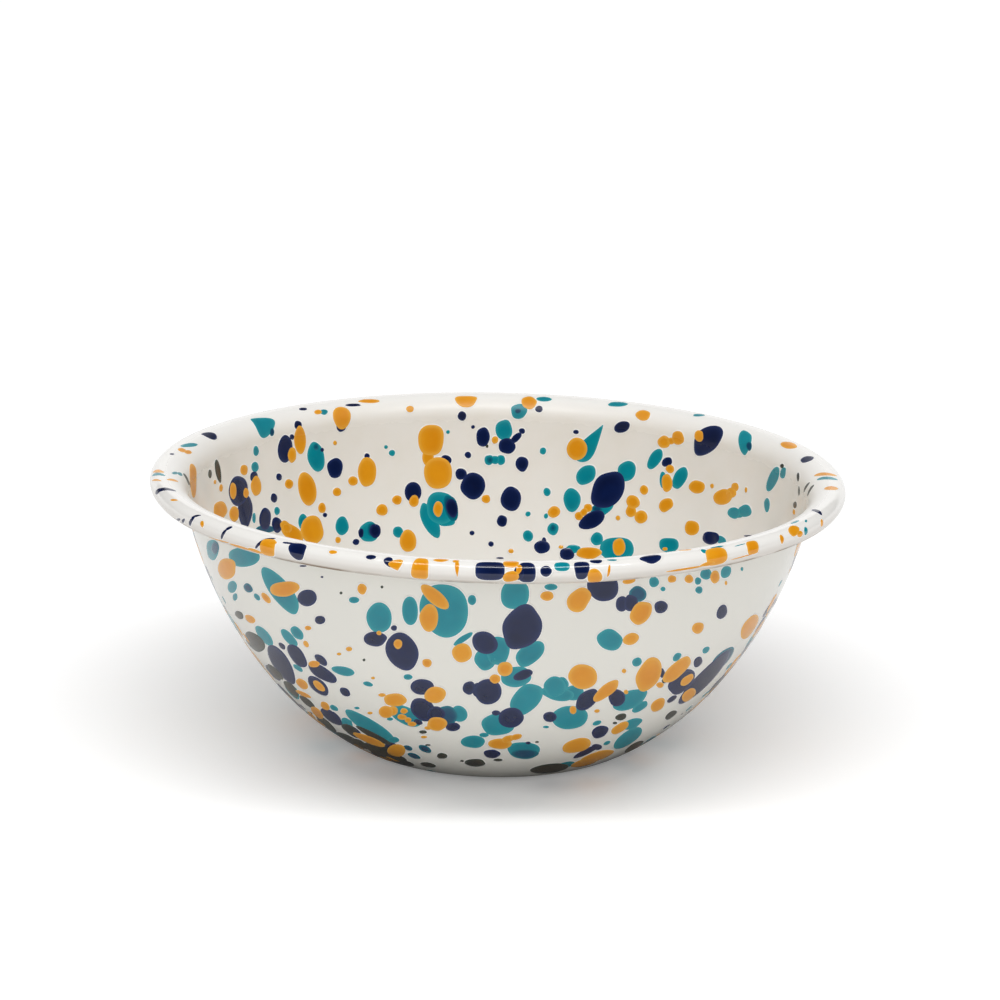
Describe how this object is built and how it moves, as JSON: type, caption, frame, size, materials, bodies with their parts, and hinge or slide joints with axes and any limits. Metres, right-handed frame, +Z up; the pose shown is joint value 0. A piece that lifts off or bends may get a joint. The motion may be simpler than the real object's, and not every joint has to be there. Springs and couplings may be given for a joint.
{
  "type": "serving bowl",
  "caption": "Enamelled steel serving bowl with a flat base, a steep round wall and a rolled rim, cream with teal, mustard and navy splatter inside and out.",
  "frame": {"origin": "centre of the foot ring, on the table plane, at the bottom centre of the bounding box", "axes": "+Z up along the bowl's axis, towards the rim; X and Y lie in the table plane, and the bowl is round about Z"},
  "size_m": [0.2536, 0.254, 0.101],
  "materials": {
    "pressed_steel": "pressed low-carbon steel sheet, covered by enamel everywhere but inside the roll",
    "ground_enamel": "dark vitreous ground coat, covered by the cream coat",
    "cream_enamel": "glossy vitreous cover coat",
    "teal_enamel": "glossy splattered drops fused into the cover coat",
    "mustard_enamel": "glossy splattered drops fused into the cover coat",
    "navy_enamel": "glossy splattered drops fused into the cover coat"
  },
  "bodies": {
    "root": {"steel_bowl": "pressed_steel", "ground_coat_inside": "ground_enamel", "ground_coat_outside": "ground_enamel", "cream_coat_inside": "cream_enamel", "cream_coat_outside": "cream_enamel", "teal_drops_inside": "teal_enamel", "mustard_drops_inside": "mustard_enamel", "navy_drops_inside": "navy_enamel", "teal_drops_outside": "teal_enamel", "mustard_drops_outside": "mustard_enamel", "navy_drops_outside": "navy_enamel", "teal_rim_dashes": "teal_enamel", "mustard_rim_dashes": "mustard_enamel", "navy_rim_dashes": "navy_enamel"}
  },
  "joints": []
}
